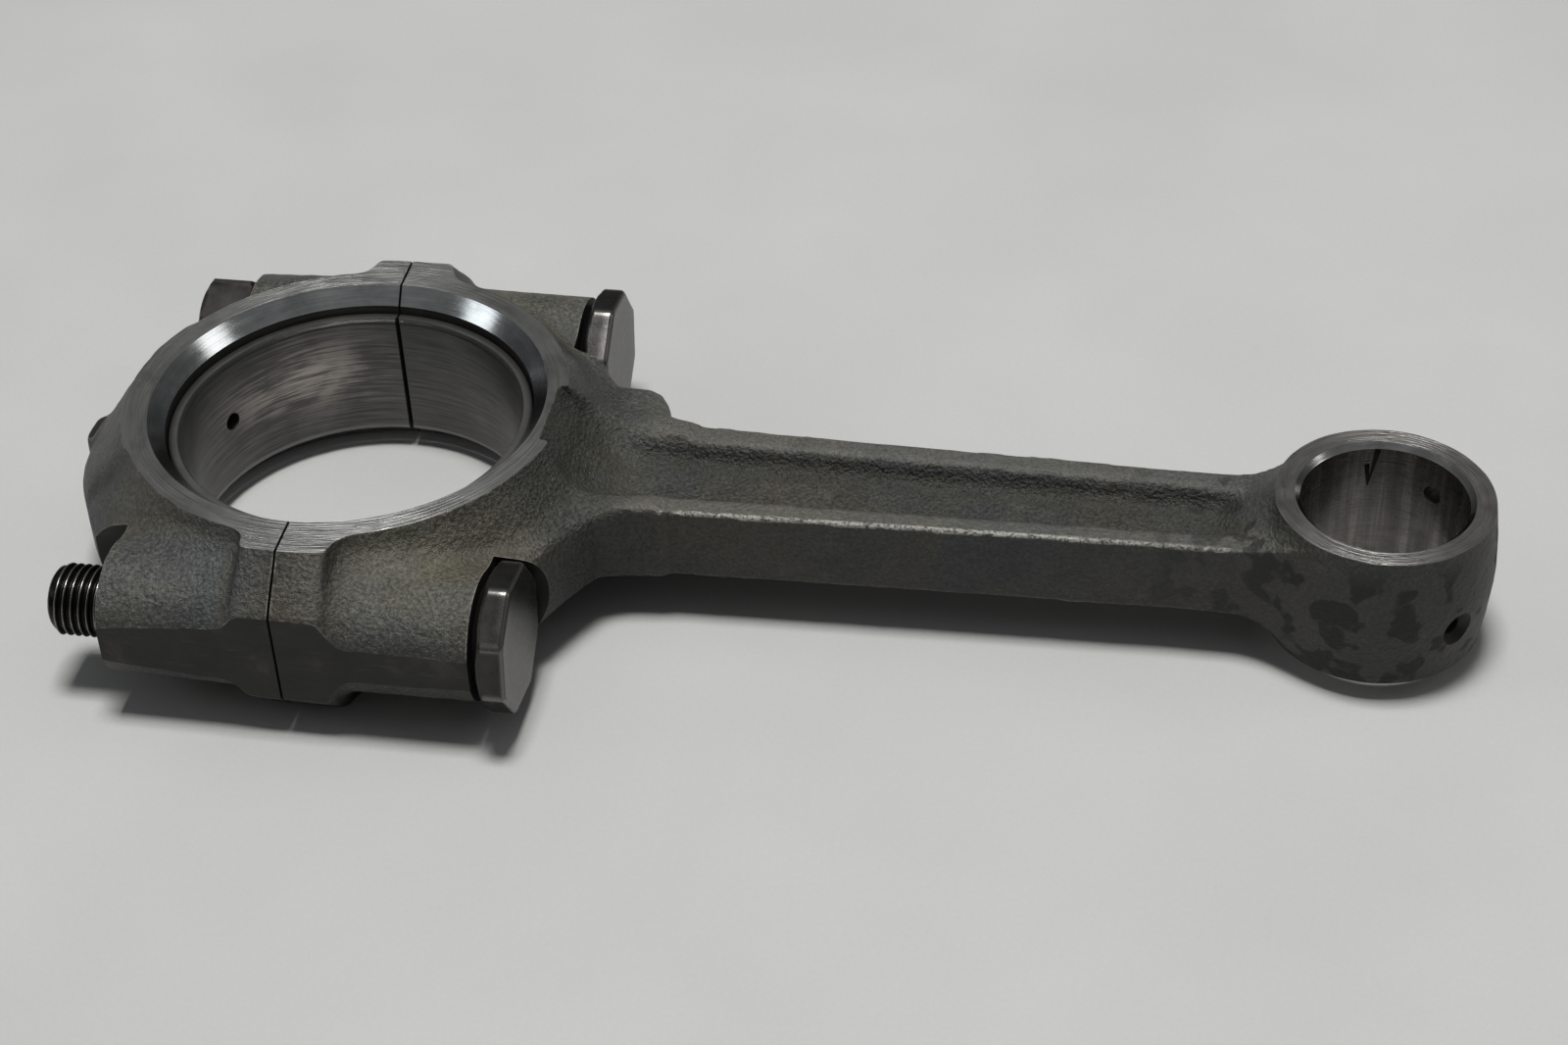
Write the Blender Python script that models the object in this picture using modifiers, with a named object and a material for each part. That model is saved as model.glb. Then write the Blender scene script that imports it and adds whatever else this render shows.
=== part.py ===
"""Connecting rod for a small engine: forged rod, bearing cap, two bearing half-shells, two bolts and a nut.

It lies flat, with the crankpin and piston-pin bores vertical. The long axis is X: the cap is at -X
and the small end at +X. +Z is up, and the origin is at the centre of the underside's bounding box.
"""
import math

import bmesh
import bpy
from mathutils import Euler, Matrix, Vector

MM = 0.001

# ---- driving dimensions, millimetres ----
CENTRES = 127.5            # crankpin bore to piston-pin bore
BIG_WIDTH = 24.0           # big end, across the machined faces
HOUSING_R = 23.0           # bore that holds the bearing shells
HOUSING_CHAMFER_R = 24.85
HOUSING_CHAMFER_DEPTH = 2.1
FACE_R = 27.7              # outer edge of the machined ring
RIM_R = 34.0               # forged body round the big end, at mid-height
SHELL_WIDTH = 18.0
SHELL_OUTER_R = 22.7
SHELL_INNER_R = 21.4
SHELL_OIL_ANGLE = 156.5
SHELL_OIL_R = 1.2

BOLT_Y = 28.55             # bolt axes, either side of the crankpin bore
BOLT_R = 4.5
THREAD_R = 4.4
BOLT_HOLE_R = 4.8
SEAT_X = 23.5              # bolt-head seat on the rod
NUT_SEAT_X = 21.8          # nut seat on the cap, on the -X side
SEAT_R = 9.5
HEAD_HALF_Y = 8.9          # each head reaches this far out from its bolt's axis
HEAD_TURN = 13.0           # degrees about the bolt axis
HEAD_R = HEAD_HALF_Y / math.cos(math.radians(HEAD_TURN))    # corner radius of the octagonal head
HEAD_SIDES = 8
HEAD_END_X = 28.0
WASHER_R = 7.1             # raised face under the head
BOLT_END_X = -29.7
THREAD_LENGTH = 16.7
NUT_FLATS = 13.0           # hexagon nut, fitted on the far bolt only
NUT_HEIGHT = 6.7
NUT_HOLE_R = 4.75
NUT_TURN = 18.6            # degrees about the bolt axis
BOSS_R = 7.9
CAP_BOSS_R = 9.0           # the cap's bosses widen towards the parting line
SIDE_Y = 36.1              # flats on the outside of the bolt bosses
PAD_FACE_Y = 30.5          # machined tabs beside the parting line
PAD_SIDE_Z = 6.0
PAD_X = 5.2

SHANK_HALF_Z = 5.0
WEB_HALF_Z = 2.0
SHANK_START_X = 22.0
SHANK_STATIONS = ((40.0, 9.0), (55.0, 8.6), (80.0, 8.0), (104.0, 7.5), (110.5, 8.1), (114.0, 10.4), (119.0, 11.6))
WEB_STATIONS = ((32.0, 5.9), (42.0, 5.7), (60.0, 5.35), (80.0, 5.0), (104.0, 4.6), (109.0, 4.4), (111.0, 3.2))
SHOULDER_NEAR = ((10.0, 29.5), (24.3, 26.0), (27.0, 22.0), (28.8, 19.0), (30.5, 15.2), (33.3, 11.3), (36.5, 9.8),
                 (41.0, 9.0))
SHOULDER_FAR = ((10.0, 29.5), (24.3, 26.0), (27.0, 22.0), (29.0, 18.6), (30.8, 16.4), (35.2, 16.2), (36.9, 15.2),
                (38.0, 13.4), (38.9, 10.9), (40.5, 9.5), (42.0, 9.0))
SHOULDER_HALF_Z = 5.4

SMALL_WIDTH = 18.2
PIN_R = 10.0
PIN_CHAMFER = 0.65
EYE_FACE_R = 13.1
EYE_RIM_R = 13.9
EYE_OIL_ANGLES = (53.0, -53.0)
EYE_OIL_R = 1.2
EYE_OIL_SINK_R = 2.4

BACK_PAD = ((24.0, 14.0), (30.8, 13.2), (32.3, 11.1), (33.5, 8.9), (34.3, 6.4), (34.6, 4.1))   # (-X, Y)
BACK_PAD_HALF_Z = 1.8
LUMP_LOW = (-35.6, -2.9, -4.0)    # knob in the middle of the back pad
LUMP_HIGH = (-31.0, 3.3, 4.0)

GAP = 0.3                  # between neighbouring pieces
BACK_X = LUMP_LOW[0]       # the rod's extent along X
FRONT_X = CENTRES + EYE_RIM_R
ORIGIN = Vector((-(BACK_X + FRONT_X) / 2, 0.0, BIG_WIDTH / 2)) * MM

for old in list(bpy.data.objects):
    bpy.data.objects.remove(old, do_unlink=True)

parts = bpy.data.collections.new("connecting_rod")
cutters = bpy.data.collections.new("connecting_rod_cutters")
bpy.context.scene.collection.children.link(parts)
bpy.context.scene.collection.children.link(cutters)

root = bpy.data.objects.new("connecting_rod_frame", None)
root.location = ORIGIN
parts.objects.link(root)


def material(name, colour, roughness, metallic):
    mat = bpy.data.materials.new(name)
    mat.use_nodes = True
    bsdf = mat.node_tree.nodes["Principled BSDF"]
    bsdf.inputs["Base Color"].default_value = (*colour, 1.0)
    bsdf.inputs["Roughness"].default_value = roughness
    bsdf.inputs["Metallic"].default_value = metallic
    return mat


FORGED = material("forged_steel", (0.13, 0.13, 0.12), 0.55, 0.8)
CAP_FORGED = material("forged_steel_cap", (0.13, 0.13, 0.12), 0.55, 0.8)
SHELL_METAL = material("bearing_metal", (0.20, 0.18, 0.17), 0.40, 0.85)
SHELL_METAL_CAP = material("bearing_metal_cap", (0.20, 0.18, 0.17), 0.40, 0.85)
BOLT_STEEL = material("bolt_steel", (0.11, 0.11, 0.11), 0.35, 0.9)
BOLT_STEEL_FAR = material("bolt_steel_far", (0.11, 0.11, 0.11), 0.35, 0.9)
NUT_STEEL = material("nut_steel", (0.15, 0.15, 0.14), 0.40, 0.9)


def add(name, mesh, cutter=False, location=(0, 0, 0), rotation=(0, 0, 0)):
    """Put a mesh in the scene under the rod's frame. Sizes and places are in millimetres."""
    obj = bpy.data.objects.new(name, mesh)
    (cutters if cutter else parts).objects.link(obj)
    obj.parent = root
    obj.location = Vector(location) * MM
    obj.rotation_euler = Euler(rotation)
    if cutter:
        obj.hide_render = True
        obj.display_type = "WIRE"
    return obj


def cylinder(name, radius, z0, z1, segments=48, radius_top=None, **place):
    mesh = bpy.data.meshes.new(name)
    bm = bmesh.new()
    top = radius if radius_top is None else radius_top
    bmesh.ops.create_cone(bm, cap_ends=True, segments=segments, radius1=radius * MM, radius2=top * MM,
                          depth=(z1 - z0) * MM, matrix=Matrix.Translation((0, 0, (z0 + z1) / 2 * MM)))
    bm.to_mesh(mesh)
    bm.free()
    return add(name, mesh, **place)


def block(name, low, high, **place):
    mesh = bpy.data.meshes.new(name)
    bm = bmesh.new()
    size = [(h - l) * MM for l, h in zip(low, high)]
    middle = [(h + l) / 2 * MM for l, h in zip(low, high)]
    bmesh.ops.create_cube(bm, size=1.0, matrix=Matrix.Translation(middle) @ Matrix.Diagonal((*size, 1.0)))
    bm.to_mesh(mesh)
    bm.free()
    return add(name, mesh, **place)


def turned(name, profile, steps=96, **place):
    """A profile of (radius, z) points, top to bottom, turned about Z with a Screw modifier."""
    mesh = bpy.data.meshes.new(name)
    verts = [(r * MM, 0.0, z * MM) for r, z in profile]
    mesh.from_pydata(verts, [(i, i + 1) for i in range(len(verts) - 1)], [])
    obj = add(name, mesh, **place)
    screw = obj.modifiers.new("turn", "SCREW")
    screw.axis = "Z"
    screw.angle = 2 * math.pi
    screw.steps = steps
    screw.render_steps = steps
    screw.use_merge_vertices = True
    screw.merge_threshold = 0.00001
    return obj


def plate(name, outline, half_z, **place):
    """A flat outline in XY, filled and given a thickness of twice half_z."""
    curve = bpy.data.curves.new(name + "_outline", "CURVE")
    curve.dimensions = "2D"
    curve.fill_mode = "BOTH"
    curve.extrude = half_z * MM
    spline = curve.splines.new("POLY")
    spline.points.add(len(outline) - 1)
    for point, (x, y) in zip(spline.points, outline):
        point.co = (x * MM, y * MM, 0.0, 1.0)
    spline.use_cyclic_u = True
    temp = bpy.data.objects.new(name + "_curve", curve)
    parts.objects.link(temp)
    bpy.context.view_layer.update()
    mesh = bpy.data.meshes.new_from_object(temp.evaluated_get(bpy.context.evaluated_depsgraph_get()))
    mesh.name = name
    bm = bmesh.new()
    bm.from_mesh(mesh)
    bmesh.ops.remove_doubles(bm, verts=bm.verts, dist=0.000001)
    bmesh.ops.recalc_face_normals(bm, faces=bm.faces)
    bm.to_mesh(mesh)
    bm.free()
    bpy.data.objects.remove(temp, do_unlink=True)
    return add(name, mesh, **place)


def boolean(obj, other, operation):
    mod = obj.modifiers.new(other.name[:50], "BOOLEAN")
    mod.operation = operation
    mod.object = other
    mod.solver = "EXACT"


ALONG_X = (0.0, math.pi / 2, 0.0)   # turns a piece made about +Z so that it runs along +X


def along_x(turn):
    """The same, with a further turn in degrees about +X."""
    return (math.pi / 2, math.pi / 2 - math.radians(turn), math.pi / 2)


HALF_BIG = BIG_WIDTH / 2
HALF_SMALL = SMALL_WIDTH / 2
SIDES = (("near", -1), ("far", 1))


def ring_profile():
    upper = [(FACE_R, HALF_BIG), (28.4, 10.5), (30.8, 6.9), (RIM_R - 0.9, 3.9), (RIM_R, 2.2)]
    lower = [(r, -z) for r, z in reversed(upper)]
    return [(0.0, HALF_BIG)] + upper + lower + [(0.0, -HALF_BIG)]


def bore_profile():
    c, d = HOUSING_CHAMFER_R, HALF_BIG - HOUSING_CHAMFER_DEPTH
    run = c - HOUSING_R
    out = run / HOUSING_CHAMFER_DEPTH
    return [(0.0, HALF_BIG + 1.0), (c + out, HALF_BIG + 1.0), (HOUSING_R, d), (HOUSING_R, -d),
            (c + out, -HALF_BIG - 1.0), (0.0, -HALF_BIG - 1.0)]


def pin_profile():
    c = PIN_R + PIN_CHAMFER
    return [(0.0, HALF_SMALL + 1.0), (c + 1.0, HALF_SMALL + 1.0), (PIN_R, HALF_SMALL - PIN_CHAMFER),
            (PIN_R, -HALF_SMALL + PIN_CHAMFER), (c + 1.0, -HALF_SMALL - 1.0), (0.0, -HALF_SMALL - 1.0)]


def pad_section(sign, x0, x1, name):
    """Machined tab beside the parting line: full height, with a 45-degree slope down to the bolt flat."""
    outline = [(-HALF_BIG, sign * 20.0), (-HALF_BIG, sign * PAD_FACE_Y), (-PAD_SIDE_Z, sign * SIDE_Y),
               (PAD_SIDE_Z, sign * SIDE_Y), (HALF_BIG, sign * PAD_FACE_Y), (HALF_BIG, sign * 20.0)]
    return plate(name, outline, (x1 - x0) / 2, cutter=True, location=((x0 + x1) / 2, 0, 0), rotation=ALONG_X)


bore_cutter = turned("cut_housing_bore", bore_profile(), cutter=True)

# ---- rod: big-end half, shoulders, I-section shank and small end, one forging ----
rod = turned("rod_forging", ring_profile())
rod.data.materials.append(FORGED)

shoulder_outline = [(x, -y) for x, y in SHOULDER_NEAR] + [(x, y) for x, y in reversed(SHOULDER_FAR)]
boolean(rod, plate("add_shoulders", shoulder_outline, SHOULDER_HALF_Z, cutter=True), "UNION")

shank_outline = [(SHANK_START_X, -9.4)] + [(x, -y) for x, y in SHANK_STATIONS]
shank_outline += [(x, y) for x, y in reversed(SHANK_STATIONS)] + [(SHANK_START_X, 9.4)]
boolean(rod, plate("add_shank", shank_outline, SHANK_HALF_Z, cutter=True), "UNION")

eye_upper = [(EYE_FACE_R, HALF_SMALL), (EYE_FACE_R + 0.45, 5.5), (EYE_RIM_R, 1.2)]
eye_profile = [(0.0, HALF_SMALL)] + eye_upper + [(r, -z) for r, z in reversed(eye_upper)] + [(0.0, -HALF_SMALL)]
boolean(rod, turned("add_small_end", eye_profile, steps=64, cutter=True, location=(CENTRES, 0, 0)), "UNION")

for side, sign in SIDES:
    boss = cylinder("add_rod_boss_" + side, BOSS_R, 0.0, SEAT_X, cutter=True,
                    location=(0, sign * BOLT_Y, 0), rotation=ALONG_X)
    boolean(rod, boss, "UNION")
    boolean(rod, pad_section(sign, 0.0, PAD_X, "add_rod_pad_" + side), "UNION")

boolean(rod, block("cut_cap_half", (-60, -60, -40), (GAP / 2, 60, 40), cutter=True), "DIFFERENCE")
boolean(rod, bore_cutter, "DIFFERENCE")
boolean(rod, turned("cut_pin_bore", pin_profile(), steps=64, cutter=True, location=(CENTRES, 0, 0)), "DIFFERENCE")

web_outline = [(x, -y) for x, y in WEB_STATIONS] + [(x, y) for x, y in reversed(WEB_STATIONS)]
for level, z in (("top", 1), ("bottom", -1)):
    depth = SHANK_HALF_Z - WEB_HALF_Z
    pocket = plate("cut_web_" + level, web_outline, depth / 2 + 1.0, cutter=True,
                   location=(0, 0, z * (WEB_HALF_Z + depth / 2 + 1.0)))
    boolean(rod, pocket, "DIFFERENCE")

for side, sign in SIDES:
    at = (0, sign * BOLT_Y, 0)
    boolean(rod, cylinder("cut_head_seat_" + side, SEAT_R, SEAT_X, SEAT_X + 14.0, cutter=True,
                          location=at, rotation=ALONG_X), "DIFFERENCE")
    boolean(rod, block("cut_rod_flat_" + side, (-2, 0, -20), (40, 10, 20), cutter=True,
                       location=(0, sign * (SIDE_Y + 5.0) - 5.0, 0)), "DIFFERENCE")

bolt_hole_near = cylinder("cut_bolt_hole_near", BOLT_HOLE_R, -45.0, 45.0, 32, cutter=True,
                          location=(0, -BOLT_Y, 0), rotation=ALONG_X)
bolt_hole_far = cylinder("cut_bolt_hole_far", BOLT_HOLE_R, -45.0, 45.0, 32, cutter=True,
                         location=(0, BOLT_Y, 0), rotation=ALONG_X)
boolean(rod, bolt_hole_near, "DIFFERENCE")
boolean(rod, bolt_hole_far, "DIFFERENCE")

for number, angle in enumerate(EYE_OIL_ANGLES, 1):
    turn = (0.0, math.pi / 2, math.radians(angle))
    boolean(rod, cylinder(f"cut_eye_oil_{number}", EYE_OIL_R, PIN_R - 2.0, EYE_RIM_R + 3.0, 16, cutter=True,
                          location=(CENTRES, 0, 0), rotation=turn), "DIFFERENCE")
    boolean(rod, cylinder(f"cut_eye_oil_sink_{number}", 0.4, EYE_RIM_R - 2.0, EYE_RIM_R + 2.0, 24,
                          radius_top=EYE_OIL_SINK_R * 2 - 0.4, cutter=True,
                          location=(CENTRES, 0, 0), rotation=turn), "DIFFERENCE")

# ---- bearing cap ----
cap = turned("bearing_cap", ring_profile())
cap.data.materials.append(CAP_FORGED)
pad_outline = [(-x, -y) for x, y in BACK_PAD] + [(-x, y) for x, y in reversed(BACK_PAD)]
boolean(cap, plate("add_back_pad", pad_outline, BACK_PAD_HALF_Z, cutter=True), "UNION")
boolean(cap, block("add_back_lump", LUMP_LOW, LUMP_HIGH, cutter=True), "UNION")
for side, sign in SIDES:
    boss = cylinder("add_cap_boss_" + side, BOSS_R, -NUT_SEAT_X, 0.0, radius_top=CAP_BOSS_R, cutter=True,
                    location=(0, sign * BOLT_Y, 0), rotation=ALONG_X)
    boolean(cap, boss, "UNION")
    boolean(cap, pad_section(sign, -PAD_X + 0.6, 0.0, "add_cap_pad_" + side), "UNION")
boolean(cap, block("cut_rod_half", (-GAP / 2, -60, -40), (60, 60, 40), cutter=True), "DIFFERENCE")
boolean(cap, bore_cutter, "DIFFERENCE")
for side, sign in SIDES:
    at = (0, sign * BOLT_Y, 0)
    boolean(cap, cylinder("cut_nut_seat_" + side, SEAT_R, -NUT_SEAT_X - 14.0, -NUT_SEAT_X, cutter=True,
                          location=at, rotation=ALONG_X), "DIFFERENCE")
    boolean(cap, block("cut_cap_flat_" + side, (-40, 0, -20), (2, 10, 20), cutter=True,
                       location=(0, sign * (SIDE_Y + 5.0) - 5.0, 0)), "DIFFERENCE")
boolean(cap, bolt_hole_near, "DIFFERENCE")
boolean(cap, bolt_hole_far, "DIFFERENCE")

# ---- bearing half-shells ----
def shell_profile():
    half = SHELL_WIDTH / 2
    return [(SHELL_INNER_R, half), (SHELL_OUTER_R, half), (SHELL_OUTER_R, -half), (SHELL_INNER_R, -half),
            (SHELL_INNER_R, half)]


def half_shell(name, sign, metal):
    obj = turned(name, shell_profile())
    obj.data.materials.append(metal)
    far = sign * -60.0
    low, high = sorted((far, sign * GAP / 2))
    boolean(obj, block("cut_" + name, (low, -60, -40), (high, 60, 40), cutter=True), "DIFFERENCE")
    return obj


rod_shell = half_shell("bearing_shell_rod", 1, SHELL_METAL)
cap_shell = half_shell("bearing_shell_cap", -1, SHELL_METAL_CAP)
boolean(cap_shell, cylinder("cut_shell_oil", SHELL_OIL_R, SHELL_INNER_R - 3.0, SHELL_OUTER_R + 3.0, 16, cutter=True,
                            rotation=(0.0, math.pi / 2, math.radians(SHELL_OIL_ANGLE))), "DIFFERENCE")

# ---- bolts, heads on the rod and threads out of the cap ----
def bolt_profile():
    head_under = SEAT_X + GAP
    thread_top = BOLT_END_X + THREAD_LENGTH
    wide = HEAD_R + 0.1
    return [(0.0, HEAD_END_X), (HEAD_R - 0.6, HEAD_END_X), (wide, HEAD_END_X - 0.5), (wide, head_under + 1.5),
            (HEAD_R - 1.0, head_under + 0.6), (WASHER_R, head_under + 0.6), (WASHER_R, head_under),
            (BOLT_R, head_under), (BOLT_R, thread_top), (THREAD_R, thread_top - 0.2),
            (THREAD_R, BOLT_END_X + 0.9), (THREAD_R - 0.9, BOLT_END_X), (0.0, BOLT_END_X)]


for side, sign, metal in (("near", -1, BOLT_STEEL), ("far", 1, BOLT_STEEL_FAR)):
    bolt = turned("rod_bolt_" + side, bolt_profile(), steps=48, location=(0, sign * BOLT_Y, 0), rotation=ALONG_X)
    bolt.data.materials.append(metal)
    boolean(bolt, cylinder("keep_head_" + side, HEAD_R, BOLT_END_X - 2.0, HEAD_END_X + 2.0, HEAD_SIDES, cutter=True,
                           location=(0, sign * BOLT_Y, 0), rotation=along_x(HEAD_TURN)), "INTERSECT")

# ---- nut: a hexagon, its corners turned down at both ends ----
nut_far_x = -NUT_SEAT_X - GAP - NUT_HEIGHT
corner_r = NUT_FLATS / 2 / math.cos(math.radians(30))
nut = cylinder("rod_nut_far", corner_r, 0.0, NUT_HEIGHT, 6, location=(nut_far_x, BOLT_Y, 0),
               rotation=along_x(NUT_TURN))
nut.data.materials.append(NUT_STEEL)
crown = turned("cut_nut_crown", [(0.0, NUT_HEIGHT), (NUT_FLATS / 2 - 0.1, NUT_HEIGHT),
                                 (corner_r + 0.1, NUT_HEIGHT - 0.7), (corner_r + 0.1, 0.7),
                                 (NUT_FLATS / 2 - 0.1, 0.0), (0.0, 0.0)],
               steps=48, cutter=True, location=(nut_far_x, BOLT_Y, 0), rotation=ALONG_X)
boolean(nut, crown, "INTERSECT")
boolean(nut, cylinder("cut_nut_hole", NUT_HOLE_R, -2.0, NUT_HEIGHT + 2.0, 32, cutter=True,
                      location=(nut_far_x, BOLT_Y, 0), rotation=ALONG_X), "DIFFERENCE")

for obj in parts.objects:
    if obj.type == "MESH":
        obj.data.shade_smooth()
        obj.data.set_sharp_from_angle(angle=math.radians(30))
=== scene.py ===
import math

import bmesh
import bpy
import numpy as np
from mathutils import Matrix, Vector


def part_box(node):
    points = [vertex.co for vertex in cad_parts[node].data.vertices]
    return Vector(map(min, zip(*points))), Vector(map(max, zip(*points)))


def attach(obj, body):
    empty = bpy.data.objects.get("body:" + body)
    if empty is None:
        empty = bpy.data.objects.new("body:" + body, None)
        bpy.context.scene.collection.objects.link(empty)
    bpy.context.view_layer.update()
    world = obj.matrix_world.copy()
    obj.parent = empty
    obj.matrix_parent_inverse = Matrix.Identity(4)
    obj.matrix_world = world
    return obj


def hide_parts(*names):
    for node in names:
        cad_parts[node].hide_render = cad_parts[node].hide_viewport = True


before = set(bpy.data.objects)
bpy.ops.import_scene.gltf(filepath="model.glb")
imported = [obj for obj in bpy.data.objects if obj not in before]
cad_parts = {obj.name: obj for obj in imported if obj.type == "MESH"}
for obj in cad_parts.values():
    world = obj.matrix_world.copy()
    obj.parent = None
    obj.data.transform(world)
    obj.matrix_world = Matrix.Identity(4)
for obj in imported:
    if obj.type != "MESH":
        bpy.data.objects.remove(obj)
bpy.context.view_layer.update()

# Lengths below are in millimetres, in the rod's own axes: x along the shank from the crankpin
# bore's centre, y across, z up from the mid-plane. place() turns them into the frame's metres.
MM = 0.001
BIG_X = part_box("rod_forging")[0][0] - 0.15 * MM
MID_Z = (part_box("rod_forging")[0][2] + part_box("rod_forging")[1][2]) / 2

CENTRES = 127.5
HALF_BIG = 12.0
HALF_SMALL = 9.1
HOUSING_R = 23.0
CHAMFER_R = 24.85
CHAMFER_DEPTH = 2.1
BOLT_Y = 28.55
SEAT_X = 23.5
NUT_SEAT_X = 21.8
SEAT_R = 9.5
SIDE_Y = 36.1
HEAD_FLAT = 8.48            # octagonal bolt head, from its axis to a flat
HEAD_TURN = 13.0            # degrees about the bolt axis, like NUT_TURN
HEAD_END = 28.0
BOLT_END = -29.7
NUT_TURN = 18.6             # degrees about the bolt axis
CAMERA_ROLL = -2.30
PIN_R = 10.0
EYE_OIL = ((53.0, 3.5), (-46.0, -2.4))      # angle and height of each small-end oil hole
GAP = 0.15                  # half the gap at the parting line
PITCH = 1.0                 # bolt thread
VOXEL = 0.30

bends = {}


# ------------------------------------------------------------------ mesh helpers

def place(points):
    points = np.asarray(points, dtype=np.float64)
    return points * MM + np.array([BIG_X, 0.0, MID_Z])


def new_object(name, verts, faces, smooth=True):
    """An object from points in rod millimetres and an array or list of faces."""
    mesh = bpy.data.meshes.new(name)
    verts = place(verts)
    if isinstance(faces, np.ndarray):
        count, side = faces.shape
        mesh.vertices.add(len(verts))
        mesh.vertices.foreach_set("co", verts.astype(np.float32).ravel())
        mesh.loops.add(count * side)
        mesh.loops.foreach_set("vertex_index", faces.astype(np.int32).ravel())
        mesh.polygons.add(count)
        mesh.polygons.foreach_set("loop_start", np.arange(0, count * side, side, dtype=np.int32))
        mesh.update(calc_edges=True)
        mesh.validate()
    else:
        mesh.from_pydata([tuple(v) for v in verts], [], [tuple(f) for f in faces])
        mesh.update()
    if smooth:
        mesh.shade_smooth()
    obj = bpy.data.objects.new(name, mesh)
    bpy.context.scene.collection.objects.link(obj)
    return obj


def turned(name, profile, centre=(0.0, 0.0, 0.0), axis="Z", steps=256, start=0.0, sweep=360.0):
    """Closed profile of (radius, height) points turned about an axis. A full turn is joined up, a part turn capped."""
    full = sweep >= 359.99
    rings = steps if full else steps + 1
    angles = np.radians(start + sweep * np.arange(rings) / steps)
    prof = np.array(profile, dtype=float)
    n = len(prof)
    r, h = prof[:, 0][None, :], prof[:, 1][None, :]
    a = angles[:, None]
    u, v, w = r * np.cos(a), r * np.sin(a), h + 0 * a
    if axis == "Z":
        pts = np.stack([u, v, w], -1)
    else:                                   # about X
        pts = np.stack([w, u, v], -1)
    pts = pts.reshape(-1, 3) + np.array(centre)
    faces = []
    for i in range(steps):
        j = (i + 1) % rings
        for k in range(n):
            m = (k + 1) % n
            faces.append((i * n + k, j * n + k, j * n + m, i * n + m))
    obj = new_object(name, pts, faces, smooth=False)
    bm = bmesh.new()
    bm.from_mesh(obj.data)
    if not full:
        bm.verts.ensure_lookup_table()
        bm.faces.new([bm.verts[k] for k in range(n)])
        bm.faces.new([bm.verts[steps * n + k] for k in reversed(range(n))])
    bmesh.ops.remove_doubles(bm, verts=bm.verts, dist=1e-7)
    bmesh.ops.dissolve_degenerate(bm, edges=bm.edges, dist=1e-8)
    bmesh.ops.recalc_face_normals(bm, faces=bm.faces)
    bm.to_mesh(obj.data)
    bm.free()
    return obj


def rod_between(name, radius, x0, x1, centre=(0.0, 0.0, 0.0), axis="X", steps=96):
    return turned(name, [(0.0, x0), (radius, x0), (radius, x1), (0.0, x1)], centre, axis, steps)


def slab(name, low, high):
    low, high = np.array(low, float), np.array(high, float)
    corners = np.array([[(low, high)[i][0], (low, high)[j][1], (low, high)[k][2]]
                        for i in (0, 1) for j in (0, 1) for k in (0, 1)])
    faces = [(0, 1, 3, 2), (4, 6, 7, 5), (0, 4, 5, 1), (2, 3, 7, 6), (0, 2, 6, 4), (1, 5, 7, 3)]
    return new_object(name, corners, faces, smooth=False)


def rotate(obj, degrees, centre, axis="Z"):
    c = Vector(place(centre))
    obj.data.transform(Matrix.Translation(c) @ Matrix.Rotation(math.radians(degrees), 4, axis) @ Matrix.Translation(-c))
    return obj


def carve(obj, cutters, operation="DIFFERENCE", solver="MANIFOLD"):
    """Boolean each cutter into obj, apply the result to its mesh and throw the cutters away."""
    for cutter in cutters:
        mod = obj.modifiers.new("carve", "BOOLEAN")
        mod.operation = operation
        mod.object = cutter
        mod.solver = solver
    bpy.context.view_layer.update()
    deps = bpy.context.evaluated_depsgraph_get()
    mesh = bpy.data.meshes.new_from_object(obj.evaluated_get(deps), depsgraph=deps)
    obj.modifiers.clear()
    mesh.materials.clear()
    old = obj.data
    obj.data = mesh
    bpy.data.meshes.remove(old)
    for cutter in cutters:
        bpy.data.objects.remove(cutter, do_unlink=True)
    return obj


# ------------------------------------------------------------------ distance fields for the forgings

def smooth_min(a, b, k):
    h = np.clip(0.5 + 0.5 * (b - a) / k, 0.0, 1.0)
    return b * (1 - h) + a * h - k * h * (1 - h)


def smooth_max(a, b, k):
    return -smooth_min(-a, -b, k)


def polygon_field(px, py, outline):
    """Signed distance from points (px, py) to a closed outline, negative inside."""
    pts = np.array(outline, dtype=np.float32)
    best = np.full(np.broadcast(px, py).shape, 1e9, dtype=np.float32)
    inside = np.zeros(best.shape, dtype=bool)
    for a, b in zip(pts, np.roll(pts, -1, axis=0)):
        e = b - a
        wx, wy = px - a[0], py - a[1]
        t = np.clip((wx * e[0] + wy * e[1]) / max(float(e @ e), 1e-9), 0.0, 1.0)
        best = np.minimum(best, (wx - t * e[0]) ** 2 + (wy - t * e[1]) ** 2)
        if a[1] != b[1]:
            crosses = (a[1] > py) != (b[1] > py)
            inside ^= crosses & (px < (b[0] - a[0]) * (py - a[1]) / (b[1] - a[1]) + a[0])
    return np.where(inside, -1.0, 1.0).astype(np.float32) * np.sqrt(best)


def lattice_noise(axes, size, seed):
    """Smooth noise between about -1 and 1 with features of the given size, on a regular grid."""
    gen = np.random.RandomState(seed)
    spans = [int((a[-1] - a[0]) / size) + 5 for a in axes]
    field = gen.uniform(-1, 1, spans).astype(np.float32)
    for d, a in enumerate(axes):
        t = (a - a[0]) / size + 1.0
        i = np.floor(t).astype(int)
        f = (t - i).astype(np.float32)
        w = [(1 - f) ** 3 / 6, (3 * f ** 3 - 6 * f ** 2 + 4) / 6, (-3 * f ** 3 + 3 * f ** 2 + 3 * f + 1) / 6, f ** 3 / 6]
        shape = [1, 1, 1]
        shape[d] = len(a)
        field = sum(np.take(field, i - 1 + k, axis=d) * w[k].reshape(shape) for k in range(4))
    return field * 1.9


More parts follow.
